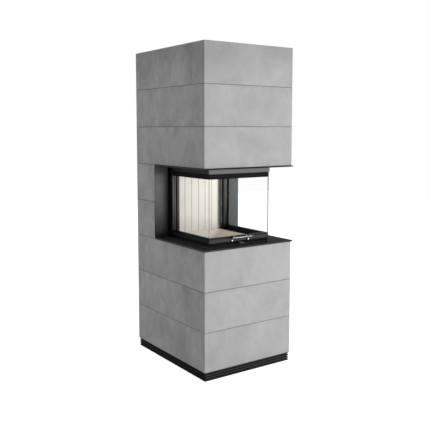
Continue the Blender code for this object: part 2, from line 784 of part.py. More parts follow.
def make_back_bricks():
    """Two upright slabs with grooves down their faces, standing behind the fire."""
    front = LINING_FRONT
    back = front + LINING_THICKNESS
    edge = CHAMBER_HALF - CASING_WALL - COLUMN_WIDTH - 2 * SEAT - SLOT_CLEARANCE
    half_groove = LINING_GROOVE_WIDTH / 2
    low = SILL_HIGH + SEAT
    for side_name, side in SIDES:
        name = "back_brick_" + side_name
        outline = [(SEAT / 2, back), (SEAT / 2, front + LINING_GROOVE_DEPTH)]
        outline.append((half_groove, front + LINING_GROOVE_DEPTH))
        outline.append((half_groove, front))
        groove = LINING_GROOVE_PITCH
        while groove + LINING_GROOVE_WIDTH < edge:
            outline += [
                (groove - half_groove, front),
                (groove - half_groove, front + LINING_GROOVE_DEPTH),
                (groove + half_groove, front + LINING_GROOVE_DEPTH),
                (groove + half_groove, front),
            ]
            groove += LINING_GROOVE_PITCH
        outline += [(edge, front), (edge, back)]
        mesh = outline_mesh(name, [[(side * x, y) for x, y in outline]], LINING_HEIGHT)
        add_piece(name, mesh, "ivory_brick", (0, 0, low + LINING_HEIGHT / 2))


def make_casing():
    """The steel back of the fire chamber, and the two columns in front of its sides."""
    low = SILL_HIGH + SEAT
    front = FLANGE_Y + SLOT_CLEARANCE
    back = BASE_BACK
    half = CHAMBER_HALF
    inner = half - CASING_WALL
    outline = [
        (-half, front),
        (-half, back),
        (half, back),
        (half, front),
        (inner, front),
        (inner, back - CASING_WALL),
        (-inner, back - CASING_WALL),
        (-inner, front),
    ]
    mesh = outline_mesh("rear_casing", [outline], CASING_HEIGHT - SEAT)
    height_middle = low + (CASING_HEIGHT - SEAT) / 2
    add_piece("rear_casing", mesh, "black_steel", (0, 0, height_middle))
    for side_name, side in SIDES:
        name = "inner_column_" + side_name
        outer = inner - SEAT
        near = outer - COLUMN_WIDTH
        flange = outer - FLANGE_WIDTH
        step = flange - SHADOW_GAP
        wall = COLUMN_WALL
        gap_y = LIP_Y + SHADOW_GAP_DEPTH
        column = [
            (near, LIP_Y),
            (step, LIP_Y),
            (step, gap_y),
            (flange, gap_y),
            (flange, FLANGE_Y),
            (outer, FLANGE_Y),
            (outer, REVEAL_Y),
            (outer - wall, REVEAL_Y),
            (outer - wall, FLANGE_Y + wall),
            (flange + wall, FLANGE_Y + wall),
            (flange + wall, gap_y + wall),
            (near + wall, gap_y + wall),
            (near + wall, REVEAL_Y),
            (near, REVEAL_Y),
        ]
        mesh = outline_mesh(name, [[(side * x, y) for x, y in column]], CASING_HEIGHT - SEAT)
        piece = add_piece(name, mesh, "graphite_steel", (0, 0, height_middle))
        low_x, high_x = sided(side, near - LIP_REACH, near + wall / 2)
        lip_low = (low_x, LIP_Y, low + FLOOR_BRICK_PROUD + SEAT)
        lip_high = (high_x, LIP_Y + wall, low + LINING_HEIGHT)
        combine(piece, box_tool(name + "_lip", lip_low, lip_high), "UNION")


def make_baffle():
    """A plate of light firebrick that lies on the back bricks and turns the smoke forwards."""
    half = CHAMBER_HALF - CASING_WALL - COLUMN_WIDTH - 2 * SEAT - SLOT_CLEARANCE
    low = SILL_HIGH + SEAT + LINING_HEIGHT + SEAT
    back = LINING_FRONT + LINING_THICKNESS
    baffle_low = (-half, back - BAFFLE_DEPTH, low)
    baffle = box_piece("baffle_plate", baffle_low, (half, back, low + BAFFLE_THICKNESS), "ivory_brick")
    soften(baffle, FLOOR_BRICK_CHAMFER)


def make_hood():
    """Sheet steel that narrows from the rectangle of the chamber to the round flue."""
    front = DOOR_FRONT + RAIL_DEPTH + RUN_CLEARANCE
    back = BASE_BACK
    centre_y = (front + back) / 2
    low = CASING_TOP
    sizes = (2 * CHAMBER_HALF, back - front)
    stub_low = low + HOOD_SKIRT + HOOD_TAPER
    bm = bmesh.new()
    loops = []
    for height in (low, low + HOOD_SKIRT):
        ring = bmesh.ops.create_circle(bm, segments=4, radius=math.sqrt(0.5))["verts"]
        bmesh.ops.rotate(bm, verts=ring, cent=(0, 0, 0), matrix=Matrix.Rotation(math.pi / 4, 3, "Z"))
        bmesh.ops.scale(bm, vec=(sizes[0], sizes[1], 1), verts=ring)
        bmesh.ops.translate(bm, vec=(0, centre_y, height), verts=ring)
        edges = list({edge for vert in ring for edge in vert.link_edges})
        cut = bmesh.ops.subdivide_edges(bm, edges=edges, cuts=FINE_STEPS // 4 - 1)
        loops.append([item for item in cut["geom"] if isinstance(item, bmesh.types.BMEdge)])
    for height in (stub_low, stub_low + HOOD_STUB):
        ring = bmesh.ops.create_circle(bm, segments=FINE_STEPS, radius=FLUE_RADIUS - SEAT)["verts"]
        bmesh.ops.translate(bm, vec=(0, FLUE_Y, height), verts=ring)
        loops.append(list({edge for vert in ring for edge in vert.link_edges}))
    for lower, upper in zip(loops, loops[1:]):
        bmesh.ops.bridge_loops(bm, edges=lower + upper)
    mesh = mesh_from(bm, "smoke_hood")
    hood = add_piece("smoke_hood", mesh, "black_steel")
    wall = hood.modifiers.new("wall", "SOLIDIFY")
    wall.thickness = HOOD_WALL
    wall.offset = -1
    wall.use_even_offset = True


def make_flue():
    """The flue pipe, pushed over the hood's stub and ending level with the top cover."""
    low = CASING_TOP + HOOD_SKIRT + HOOD_TAPER + SEAT
    top = TOTAL_HEIGHT - SEAT / 2
    outer = FLUE_RADIUS + FLUE_WALL
    profile = [(outer, top), (outer, low), (FLUE_RADIUS, low), (FLUE_RADIUS, top)]
    turned_piece("flue_pipe", profile, "black_steel", (0, FLUE_Y, 0))


def make_door():
    """Rails, panes and stiles, carried by one empty at the middle of the lower rail."""
    door = axis_empty("door_lift", (0, DOOR_FRONT, DOOR_LOW))
    c = RAIL_CHAMFER
    bead_low = GLASS_LOW - BEAD_HEIGHT
    lower = [
        (c, DOOR_LOW),
        (0, DOOR_LOW + c),
        (0, bead_low - c),
        (c, bead_low),
        (BEAD_INSET, bead_low),
        (BEAD_INSET, GLASS_LOW),
        (RAIL_DEPTH, GLASS_LOW),
        (RAIL_DEPTH, DOOR_LOW),
    ]
    mesh = channel_mesh("door_lower_rail", DOOR_HALF, DOOR_FRONT, RAIL_BACK, lower)
    add_piece("door_lower_rail", mesh, "rail_steel", (0, RAIL_BACK, 0), parent=door)
    upper = bar_profile(RAIL_DEPTH, GLASS_HIGH, DOOR_HIGH, c)
    mesh = channel_mesh("door_upper_rail", DOOR_HALF, DOOR_FRONT, RAIL_BACK, upper)
    add_piece("door_upper_rail", mesh, "black_steel", (0, RAIL_BACK, 0), parent=door)
    pane_low = GLASS_LOW + SEAT
    pane_high = GLASS_HIGH - SEAT
    pane_out = DOOR_HALF - PANE_INSET
    pane_front = DOOR_FRONT + PANE_INSET
    front_back = pane_front + PANE_THICKNESS
    front_low = (-pane_out, pane_front, pane_low)
    box_piece("front_pane", front_low, (pane_out, front_back, pane_high), "glass", door)
    for side_name, side in SIDES:
        low_x, high_x = sided(side, pane_out - PANE_THICKNESS, pane_out)
        side_low = (low_x, front_back + SEAT, pane_low)
        side_high = (high_x, RAIL_BACK - PANE_INSET, pane_high)
        box_piece("side_pane_" + side_name, side_low, side_high, "glass", door)
        name = "rear_stile_" + side_name
        beside = DOOR_HALF + SEAT
        behind = RAIL_BACK + SEAT + STILE_EDGE
        outline = [
            (beside, STILE_FRONT),
            (STILE_OUT, STILE_FRONT),
            (STILE_OUT, STILE_BACK),
            (STILE_IN, STILE_BACK),
            (STILE_IN, behind),
            (beside, behind),
        ]
        mesh = outline_mesh(name, [[(side * x, y) for x, y in outline]], DOOR_HIGH - DOOR_LOW)
        stile = add_piece(name, mesh, "graphite_steel", (0, 0, (DOOR_LOW + DOOR_HIGH) / 2), parent=door)
        soften(stile, STILE_EDGE)
    make_handle(door)


def make_handle(door):
    """A round bar on two arms; each arm stands on a leg with a drop-shaped foot, all polished."""
    bar = tube_curve("handle_bar", bar_path(), HANDLE_RADIUS, 3)
    add_piece("handle_bar", mesh_of_curve("handle_bar", bar), "stainless", parent=door)
    face = DOOR_FRONT - SEAT
    for side_name, side in SIDES:
        name = "handle_bracket_" + side_name
        middle_x = side * BRACKET_SPREAD
        foot_x = side * (BRACKET_SPREAD + BRACKET_SPLAY)
        top_x = side * (BRACKET_SPREAD - BRACKET_SPLAY)
        foot_z = DOOR_LOW + BRACKET_FOOT_RISE + BRACKET_FOOT_HEIGHT / 2
        top_z = DOOR_LOW + BRACKET_TOP_RISE
        leg_y = face - BRACKET_FOOT_RADIUS
        leg_path = [(foot_x, leg_y, foot_z), (top_x, leg_y, top_z)]
        arm_path = [(middle_x, leg_y, (foot_z + top_z) / 2), (middle_x, HANDLE_Y, HANDLE_Z)]
        leg = mesh_of_curve(name, tube_curve(name, leg_path, BRACKET_RADIUS, 2))
        bracket = add_piece(name, leg, "stainless", parent=door)
        arm_curve = tube_curve(name + "_arm", arm_path, BRACKET_RADIUS, 2)
        arm = add_tool(name + "_arm", mesh_of_curve(name + "_arm", arm_curve))
        foot = foot_tool(name + "_foot", (foot_x, leg_y, foot_z))
        collar = rod_tool(name + "_collar", middle_x, COLLAR_WIDTH, COLLAR_RADIUS)
        bore = rod_tool(name + "_bore", middle_x, 2 * COLLAR_WIDTH, HANDLE_RADIUS + SEAT)
        face_cut = box_tool(
            name + "_face",
            (middle_x - BRACKET_SPREAD / 2, face, DOOR_LOW - OVERRUN),
            (middle_x + BRACKET_SPREAD / 2, face + OVERRUN, GLASS_LOW + OVERRUN),
        )
        combine(bracket, arm, "UNION")
        combine(bracket, foot, "UNION")
        combine(bracket, collar, "UNION")
        combine(bracket, bore, "DIFFERENCE")
        combine(bracket, face_cut, "DIFFERENCE")


def bar_path():
    half = HANDLE_LENGTH / 2
    return [(-half, HANDLE_Y, HANDLE_Z), (half, HANDLE_Y, HANDLE_Z)]


def foot_tool(name, centre):
    """A ball drawn out upwards and downwards to the foot's height."""
    bm = bmesh.new()
    radius = BRACKET_FOOT_RADIUS
    bmesh.ops.create_uvsphere(bm, u_segments=COARSE_STEPS, v_segments=COARSE_STEPS // 2, radius=radius)
    bmesh.ops.scale(bm, vec=(1, 1, BRACKET_FOOT_HEIGHT / (2 * radius)), verts=bm.verts)
    return add_tool(name, mesh_from(bm, name), centre)


def rod_tool(name, x, length, radius):
    """A round rod along X, on the handle bar's axis."""
    outline = circle(radius, COARSE_STEPS)
    return add_tool(name, outline_mesh(name, [outline], length), (x, HANDLE_Y, HANDLE_Z), ACROSS_X)


def make_guides():
    """C-shaped rails that the stiles run along, from the sill up beside the hood."""
    low = SILL_HIGH + SEAT
    for side_name, side in SIDES:
        name = "guide_rail_" + side_name
        outer = GUIDE_OUT
        inner = GUIDE_OUT - GUIDE_WIDTH
        wall = GUIDE_WALL
        outline = [
            (inner, FLANGE_Y),
            (outer, FLANGE_Y),
            (outer, GUIDE_BACK),
            (outer - wall, GUIDE_BACK),
            (outer - wall, FLANGE_Y + wall),
            (inner + wall, FLANGE_Y + wall),
            (inner + wall, GUIDE_BACK),
            (inner, GUIDE_BACK),
        ]
        mesh = outline_mesh(name, [[(side * x, y) for x, y in outline]], GUIDE_HEIGHT)
        add_piece(name, mesh, "graphite_steel", (0, 0, low + GUIDE_HEIGHT / 2))


def make_pulley_bracket(side_name, side):
    """A yoke bolted to the back of the guide rail, with the pulley's pin across it."""
    name = "pulley_bracket_" + side_name
    near = GUIDE_BACK + SEAT
    inner_x = CABLE_X - PULLEY_WIDTH / 2 - YOKE_CLEARANCE - YOKE_WALL
    outer_x = CABLE_X + PULLEY_WIDTH / 2 + YOKE_CLEARANCE + YOKE_WALL
    low = PULLEY_Z - YOKE_BELOW_AXLE
    high = PULLEY_Z + PULLEY_OUTER_RADIUS + YOKE_WALL + RUN_CLEARANCE
    far = PULLEY_Y + YOKE_LENGTH / 2
    cheek_x = sided(side, inner_x, inner_x + YOKE_WALL)
    bracket = box_piece(name, (cheek_x[0], near, low), (cheek_x[1], far, high), "plain_steel")
    foot_x = sided(side, GUIDE_OUT - GUIDE_WIDTH + GUIDE_WALL / 2, inner_x + YOKE_WALL / 2)
    foot_low = (foot_x[0], near, low)
    foot = box_tool(name + "_foot", foot_low, (foot_x[1], near + YOKE_WALL, high - YOKE_WALL))
    start = PULLEY_Y - YOKE_LENGTH / 2
    bridge_x = sided(side, inner_x + YOKE_WALL / 2, outer_x - YOKE_WALL / 2)
    bridge_low = (bridge_x[0], start, high - YOKE_WALL)
    bridge = box_tool(name + "_bridge", bridge_low, (bridge_x[1], far - YOKE_WALL, high))
    outer = sided(side, outer_x - YOKE_WALL, outer_x)
    cheek = box_tool(name + "_cheek", (outer[0], start, low), (outer[1], far - YOKE_WALL, high))
    pin_ends = sided(side, inner_x - YOKE_WALL, outer_x + YOKE_WALL)
    pin = add_tool(
        name + "_pin",
        outline_mesh(name + "_pin", [circle(PIN_RADIUS, COARSE_STEPS)], pin_ends[1] - pin_ends[0]),
        ((pin_ends[0] + pin_ends[1]) / 2, PULLEY_Y, PULLEY_Z),
        ACROSS_X,
    )
    for tool in (foot, bridge, cheek, pin):
        combine(bracket, tool, "UNION")


def make_pulley(side_name, side):
    """A grooved wheel with a hub and lightening holes, its origin on its axle."""
    name = "pulley_" + side_name
    half = PULLEY_WIDTH / 2
    web = PULLEY_WEB_WIDTH / 2
    groove = PULLEY_GROOVE_WIDTH / 2
    bottom = PULLEY_PITCH_RADIUS - CABLE_RADIUS - SEAT
    rim_inner = bottom - PULLEY_RIM
    bore = PIN_RADIUS + SEAT
    profile = [
        (PULLEY_OUTER_RADIUS, half - PULLEY_RIM / 3),
        (PULLEY_OUTER_RADIUS, groove),
        (bottom, CABLE_RADIUS),
        (bottom, -CABLE_RADIUS),
        (PULLEY_OUTER_RADIUS, -groove),
        (PULLEY_OUTER_RADIUS, -half + PULLEY_RIM / 3),
        (rim_inner, -half + PULLEY_RIM / 3),
        (rim_inner, -web),
        (PULLEY_HUB_RADIUS, -web),
        (PULLEY_HUB_RADIUS, -half),
        (bore, -half),
        (bore, half),
        (PULLEY_HUB_RADIUS, half),
        (PULLEY_HUB_RADIUS, web),
        (rim_inner, web),
        (rim_inner, half - PULLEY_RIM / 3),
    ]
    centre = (side * CABLE_X, PULLEY_Y, PULLEY_Z)
    pulley = turned_piece(name, profile, "plain_steel", centre, ALONG_X)
    ring = (PULLEY_HUB_RADIUS + rim_inner) / 2
    for number in range(PULLEY_HOLES):
        turn = math.tau * number / PULLEY_HOLES
        place = (centre[0], centre[1] + ring * math.cos(turn), centre[2] + ring * math.sin(turn))
        hole_name = f"{name}_hole_{number + 1}"
        mesh = outline_mesh(hole_name, [circle(PULLEY_HOLE_RADIUS, COARSE_STEPS)], 2 * PULLEY_WIDTH)
        combine(pulley, add_tool(hole_name, mesh, place, ACROSS_X), "DIFFERENCE")


def make_cables(side_name, side):
    """Door side, bend over the pulley, and counterweight side of one steel cable."""
    x = side * CABLE_X
    half_turn = [math.pi * step / COARSE_STEPS for step in range(COARSE_STEPS + 1)]
    bend = [
        (x, PULLEY_Y - PULLEY_PITCH_RADIUS * math.cos(turn), PULLEY_Z + PULLEY_PITCH_RADIUS * math.sin(turn))
        for turn in half_turn
    ]
    door_run = [(x, CABLE_Y, DOOR_HIGH + SEAT), (x, CABLE_Y, PULLEY_Z - SEAT)]
    weight_run = [(x, WEIGHT_Y, WEIGHT_TOP + SEAT), (x, WEIGHT_Y, PULLEY_Z - SEAT)]
    for name, path in (("cable_bend_", bend), ("door_cable_", door_run), ("weight_cable_", weight_run)):
        name += side_name
        mesh = mesh_of_curve(name, tube_curve(name, path, CABLE_RADIUS, 1))
        add_piece(name, mesh, "stainless")


def make_counterweight(side_name, side):
    """A cast block that hangs behind the reveal panel."""
    low_x, high_x = sided(side, CABLE_X - WEIGHT_WIDTH / 2, CABLE_X + WEIGHT_WIDTH / 2)
    low = (low_x, WEIGHT_Y - WEIGHT_DEPTH / 2, WEIGHT_TOP - WEIGHT_HEIGHT)
    high = (high_x, WEIGHT_Y + WEIGHT_DEPTH / 2, WEIGHT_TOP)
    weight = box_piece("counterweight_" + side_name, low, high, "cast_iron")
    soften(weight, WEIGHT_CHAMFER, 2)


def make_air_control():
    """The slotted gate and the lever that slides it, both moving along X."""
    slide = axis_empty("air_slide", (0, GATE_MIDDLE, GATE_LOW))
    low = (-GATE_HALF_LENGTH, GATE_FRONT)
    outlines = [rectangle(low, (GATE_HALF_LENGTH, GATE_BACK))]
    for x in gate_slots():
        slot_low = (x - GATE_SLOT_LENGTH / 2, GATE_MIDDLE - GATE_SLOT_WIDTH / 2)
        slot_high = (x + GATE_SLOT_LENGTH / 2, GATE_MIDDLE + GATE_SLOT_WIDTH / 2)
        outlines.append(rectangle(slot_low, slot_high))
    gate = outline_mesh("air_gate", outlines, GATE_THICKNESS)
    add_piece("air_gate", gate, "plain_steel", (0, 0, (GATE_LOW + GATE_HIGH) / 2), parent=slide)
    tab_y = DOOR_FRONT - LEVER_REACH
    half_stem = LEVER_STEM_WIDTH / 2
    radius = LEVER_TAB_RADIUS
    start = math.pi / 2 + math.asin(half_stem / radius)
    sweep = math.tau - 2 * math.asin(half_stem / radius)
    turns = [start + sweep * step / COARSE_STEPS for step in range(COARSE_STEPS + 1)]
    outline = [(radius * math.cos(turn), tab_y + radius * math.sin(turn)) for turn in turns]
    outline += [(half_stem, GATE_BACK), (-half_stem, GATE_BACK)]
    lever = outline_mesh("air_lever", [outline], LEVER_THICKNESS)
    add_piece("air_lever", lever, "black_steel", (0, 0, LEVER_LOW + LEVER_THICKNESS / 2), parent=slide)


clear_scene()
PART = new_collection("three_sided_fireplace")
CUTTERS = new_collection("cutters")

make_plinth()
make_courses()
make_top_cover()
make_plates()
make_reveal_panels()
make_fascia()
make_stand_frame()
make_lintel_frame()
make_feet()
make_sill()
make_firebox_base()
make_air_spigot()
make_floor_bricks()
make_back_bricks()
make_casing()
make_baffle()
make_hood()
make_flue()
make_door()
make_guides()
for side_label, side_sign in SIDES:
    make_pulley_bracket(side_label, side_sign)
    make_pulley(side_label, side_sign)
    make_cables(side_label, side_sign)
    make_counterweight(side_label, side_sign)
make_air_control()
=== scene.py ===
import math

import bmesh
import bpy
from mathutils import Matrix, Vector


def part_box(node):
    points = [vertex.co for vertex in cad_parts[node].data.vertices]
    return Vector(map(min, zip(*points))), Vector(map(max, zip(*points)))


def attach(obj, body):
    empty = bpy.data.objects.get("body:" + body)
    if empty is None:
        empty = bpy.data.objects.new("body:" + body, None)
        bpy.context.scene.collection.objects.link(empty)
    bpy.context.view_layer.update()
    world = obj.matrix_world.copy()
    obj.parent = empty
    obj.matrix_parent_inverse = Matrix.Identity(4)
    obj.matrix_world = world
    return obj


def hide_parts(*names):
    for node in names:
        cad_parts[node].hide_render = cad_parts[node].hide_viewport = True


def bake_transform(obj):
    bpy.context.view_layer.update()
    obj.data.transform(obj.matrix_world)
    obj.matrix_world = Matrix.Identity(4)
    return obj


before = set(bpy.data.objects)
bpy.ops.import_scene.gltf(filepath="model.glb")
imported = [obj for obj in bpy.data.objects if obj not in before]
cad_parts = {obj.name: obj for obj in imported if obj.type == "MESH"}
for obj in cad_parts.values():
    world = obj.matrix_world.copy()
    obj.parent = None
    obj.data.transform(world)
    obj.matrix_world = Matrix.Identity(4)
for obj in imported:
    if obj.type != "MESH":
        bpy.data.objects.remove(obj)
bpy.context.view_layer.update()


# Viewpoint
# A camera at eye height, to the left of the front, tipped down a little, with a small shift of
# the lens for the rest of the way down.
def add_object(name, data):
    """An object in the scene that holds a mesh, a lamp or a lens."""
    made = bpy.data.objects.new(name, data)
    bpy.context.scene.collection.objects.link(made)
    return made


lens = bpy.data.cameras.new("viewpoint")
lens.lens = 53.64
lens.sensor_width = 36
lens.shift_y = -0.044
tip = math.radians(84.13)
heading = math.radians(-34.7643)
viewpoint = add_object("viewpoint", lens)
viewpoint.location = (-2.4435, -3.5614, 1.5329)
viewpoint.rotation_euler = (tip, 0, heading)
bpy.context.scene.camera = viewpoint
bpy.context.scene.view_settings.view_transform = "Standard"


# Studio
# A pale floor that runs into a white background, and even light from all round. A large soft
# lamp to the right lights the front about twice as brightly as the side, and a small one in
# front of the baffle lights the clay.
def add_node(tree, kind, inputs=None, **settings):
    """A shader node with its settings, each input given a value or fed from a socket."""
    node = tree.nodes.new("ShaderNode" + kind)
    for setting, value in settings.items():
        setattr(node, setting, value)
    for socket, value in (inputs or {}).items():
        if isinstance(value, bpy.types.NodeSocket):
            tree.links.new(value, node.inputs[socket])
        else:
            node.inputs[socket].default_value = value
    return node


def add_maths(tree, operation, *values):
    """A Math node; returns its value."""
    return add_node(tree, "Math", dict(enumerate(values)), operation=operation).outputs[0]


def seen_directly(tree):
    """1 for a camera ray and for one that comes by way of a mirror or through glass."""
    path = add_node(tree, "LightPath").outputs
    mirrored = add_maths(tree, "MAXIMUM", path["Is Glossy Ray"], path["Is Transmission Ray"])
    return add_maths(tree, "MAXIMUM", path["Is Camera Ray"], mirrored)


white = (1, 1, 1, 1)
even_light = 0.47
world = bpy.data.worlds.new("studio")
world.use_nodes = True
bpy.context.scene.world = world
tree = world.node_tree
background = tree.nodes["Background"]
background.inputs["Color"].default_value = white
strength = add_maths(tree, "MULTIPLY_ADD", seen_directly(tree), 1 - even_light, even_light)
tree.links.new(strength, background.inputs["Strength"])


def add_mesh(name, bm, *materials):
    """An object in the scene made from a bmesh, with its materials."""
    mesh = bpy.data.meshes.new(name)
    bm.to_mesh(mesh)
    bm.free()
    for material in materials:
        mesh.materials.append(material)
    return add_object(name, mesh)


floor_reach = 9
floor_glow = 0.82
white_floor = bpy.data.materials.new("white_floor")
white_floor.use_nodes = True
tree = white_floor.node_tree
shader = tree.nodes["Principled BSDF"]
shader.inputs["Base Color"].default_value = (0.85, 0.85, 0.85, 1)
shader.inputs["Roughness"].default_value = 1
shader.inputs["Specular IOR Level"].default_value = 0
shader.inputs["Emission Color"].default_value = white
glow = add_maths(tree, "MULTIPLY", seen_directly(tree), floor_glow)
tree.links.new(glow, shader.inputs["Emission Strength"])
bm = bmesh.new()
bmesh.ops.create_grid(bm, x_segments=4, y_segments=4, size=floor_reach)
floor = add_mesh("floor", bm, white_floor)


def add_lamp(name, place, aim, width, height, energy):
    """A rectangular lamp of a given size in metres and energy in watts, turned towards a point."""
    light = bpy.data.lights.new(name, "AREA")
    light.shape = "RECTANGLE"
    light.size = width
    light.size_y = height
    light.energy = energy
    lamp = add_object(name, light)
    lamp.location = place
    lamp.rotation_euler = (Vector(aim) - lamp.location).to_track_quat("-Z", "Y").to_euler()
    return lamp


add_lamp("soft_lamp", place=(2.4, -4.6, 0.7), aim=(0, 0, 0.95), width=3, height=2.4, energy=172)
hearth_lamp = add_lamp("hearth_lamp", place=(0.13, -0.22, 1.2), aim=(0.11, 0.12, 0.95),
                       width=0.2, height=0.06, energy=0.5)
hearth_lamp.visible_camera = False
hearth_lamp.visible_glossy = False
hearth_lamp.visible_transmission = False


# Plinth
# Four black slats on every side, powder-coated steel folded round a steel frame, with narrow
# shadow grooves between them.
def open_group(name, inputs):
    """A shader node group: its tree, its inputs as sockets, and the sockets that take its results."""
    tree = bpy.data.node_groups.new(name, "ShaderNodeTree")
    kinds = {"Colour": "NodeSocketColor", "Stretch": "NodeSocketVector"}
    for label, value in inputs.items():
        kind = kinds.get(label, "NodeSocketFloat")
        socket = tree.interface.new_socket(label, in_out="INPUT", socket_type=kind)
        socket.default_value = value
    for label in ("Colour", "Roughness", "Height"):
        kind = kinds.get(label, "NodeSocketFloat")
        tree.interface.new_socket(label, in_out="OUTPUT", socket_type=kind)
    given = tree.nodes.new("NodeGroupInput").outputs
    made = tree.nodes.new("NodeGroupOutput").inputs
    return tree, given, made


def add_noise(tree, vector, scale, detail=2, roughness=0.5, distortion=0):
    """A Noise Texture; returns its value, about 0.5 on average."""
    inputs = {"Vector": vector, "Scale": scale, "Detail": detail, "Roughness": roughness,
              "Distortion": distortion}
    return add_node(tree, "TexNoise", inputs).outputs[0]


def add_range(tree, value, low, high, to_low, to_high):
    """A Map Range node, clamped; returns its value."""
    inputs = {"Value": value, "From Min": low, "From Max": high, "To Min": to_low, "To Max": to_high}
    return add_node(tree, "MapRange", inputs).outputs[0]


def spread(tree, noise, to_low, to_high):
    """A noise, most of which lies from 0.3 to 0.7, spread over another range."""
    return add_range(tree, noise, 0.3, 0.7, to_low, to_high)


def scale_colour(tree, colour, factor):
    """The colour made lighter or darker by a factor; returns the new colour."""
    return add_node(tree, "VectorMath", {0: colour, "Scale": factor}, operation="SCALE").outputs[0]


def coat_group():
    """Paint or powder coat: fine orange peel, and slow drifts of shade and of gloss."""
    inputs = {"Colour": (0, 0, 0, 1), "Roughness": 0.4, "Peel": 600.0}
    tree, given, made = open_group("coat", inputs)
    place = add_node(tree, "TexCoord").outputs["Object"]
    drift = add_noise(tree, place, 4.5, detail=3)
    smudge = add_noise(tree, place, 30, detail=4, roughness=0.6, distortion=0.4)
    shade = add_maths(tree, "ADD", spread(tree, drift, 0.9, 1.06), spread(tree, smudge, -0.03, 0.05))
    tree.links.new(scale_colour(tree, given["Colour"], shade), made["Colour"])
    gloss = add_maths(tree, "ADD", spread(tree, drift, -0.03, 0.03), spread(tree, smudge, -0.04, 0.05))
    tree.links.new(add_maths(tree, "ADD", given["Roughness"], gloss), made["Roughness"])
    tree.links.new(add_noise(tree, place, given["Peel"]), made["Height"])
    return tree


coat = coat_group()


def add_material(name, group, values, bump=0.25, depth=0.0003, **principled):
    """A material whose colour, roughness and height come from a group, the rest set on the shader."""
    material = bpy.data.materials.new(name)
    material.use_nodes = True
    tree = material.node_tree
    shader = tree.nodes["Principled BSDF"]
    texture = add_node(tree, "Group", node_tree=group)
    for label, value in values.items():
        texture.inputs[label].default_value = value
    relief = {"Height": texture.outputs["Height"], "Strength": bump, "Distance": depth}
    tree.links.new(texture.outputs["Colour"], shader.inputs["Base Color"])
    tree.links.new(texture.outputs["Roughness"], shader.inputs["Roughness"])
    tree.links.new(add_node(tree, "Bump", relief).outputs["Normal"], shader.inputs["Normal"])
    for label, value in principled.items():
        shader.inputs[label.replace("_", " ")].default_value = value
    return material


def painted(name, colour, roughness, peel, specular, **principled):
    """A paint or powder coat; the greater its peel, the finer."""
    values = {"Colour": (*colour, 1), "Roughness": roughness, "Peel": peel}
    return add_material(name, coat, values, Specular_IOR_Level=specular, **principled)


def finish_nodes(material, names, edge=0):
    """Give a material to nodes of the frame, and round their edges if a width is given."""
    for name in names:
        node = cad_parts[name]
        node.material_slots[0].material = material
        if edge:
            node.modifiers.new("merge", "WELD").merge_threshold = 0.00001
            bevel = node.modifiers.new("edge", "BEVEL")
            bevel.width = edge
            bevel.segments = 2
            bevel.limit_method = "ANGLE"
            bevel.angle_limit = math.radians(50)
            bevel.use_clamp_overlap = True


def take_measure(tree, measure):
    """A measure of the surface's place or direction on the object.

    The measure is facing, the backward part of the surface's direction; height; depth, the
    place from front to back; slant, the place from the rear left to the front right; across,
    the place from left to right; or aside, the distance from the middle plane.
    """
    ways = {"facing": (0, 1, 0), "height": (0, 0, 1), "depth": (0, 1, 0), "slant": (1, -1, 0),
            "across": (1, 0, 0), "aside": (1, 0, 0)}
    if measure == "facing":
        source = add_node(tree, "NewGeometry").outputs["True Normal"]
    else:
        source = add_node(tree, "TexCoord").outputs["Object"]
    along = add_node(tree, "VectorMath", {0: source, 1: ways[measure]}, operation="DOT_PRODUCT")
    value = along.outputs["Value"]
    return add_maths(tree, "ABSOLUTE", value) if measure == "aside" else value


def shade_by(material, measure, stops):
    """Scale a paint's colour by a number or a tint that changes with a measure, most often to paint light
    and shade into it.

    The stops are two values of the measure, each with its factor, and the factor runs evenly
    from the one to the other.
    """
    tree = material.node_tree
    colour = tree.nodes["Principled BSDF"].inputs["Base Color"]
    low, high = stops
    mask = add_range(tree, take_measure(tree, measure), low, high, 0, 1)
    tints = [factor if isinstance(factor, tuple) else (factor,) * 3 for factor in stops.values()]
    mixed = add_node(tree, "MixRGB", {"Fac": mask, "Color1": (*tints[0], 1), "Color2": (*tints[1], 1)})
    inputs = {0: colour.links[0].from_socket, 1: mixed.outputs[0]}
    tree.links.new(add_node(tree, "VectorMath", inputs, operation="MULTIPLY").outputs[0], colour)


# The backward part of the direction, where a face looks to the front and where it no longer does.
front_look = -0.9
side_look = -0.4


def paint_light_by_facing(material, front_light, elsewhere):
    """Painted light and shade: scale a paint's colour by one factor on what looks to the front and by
    another elsewhere.
    """
    shade_by(material, "facing", {front_look: front_light, side_look: elsewhere})


slat_black = painted("slat_black", (0.026, 0.026, 0.027), roughness=0.42, peel=700, specular=0.03)
# Painted light and shade: faces that look to the front are painted lighter, the others darker.
paint_light_by_facing(slat_black, 1.6, 0.6)
slat_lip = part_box("plinth")[0].y + 0.002
groove_shadow = slat_lip + 0.003
# Painted shade: the grooves between the slats are painted darker than the slats' faces.
shade_by(slat_black, "depth", {slat_lip: 1, groove_shadow: 0.3})
finish_nodes(slat_black, ["plinth"])


# Concrete modules
# Eight courses of cast lightweight concrete with a trowelled skin, laid dry one on the other,
# and a cover of the same concrete inside the rim of the top one.
def pit_mask(tree, place, scale, size):
    """Small round pits here and there; 1 in a pit, 0 outside it."""
    cells = add_node(tree, "TexVoronoi", {"Vector": place, "Scale": scale}).outputs["Distance"]
    chosen = add_range(tree, add_noise(tree, place, scale / 9), 0.52, 0.62, 0, 1)
    return add_maths(tree, "MULTIPLY", add_range(tree, cells, size / 2, size, 1, 0), chosen)


def add_vectors(tree, operation, *values):
    """A Vector Math node; returns its vector."""
    return add_node(tree, "VectorMath", dict(enumerate(values)), operation=operation).outputs[0]


first_joint = 0.055
course_height = 0.25
near_top = 2.04
mean_shade = 0.985
concrete_grey = (0.452, 0.452, 0.45)


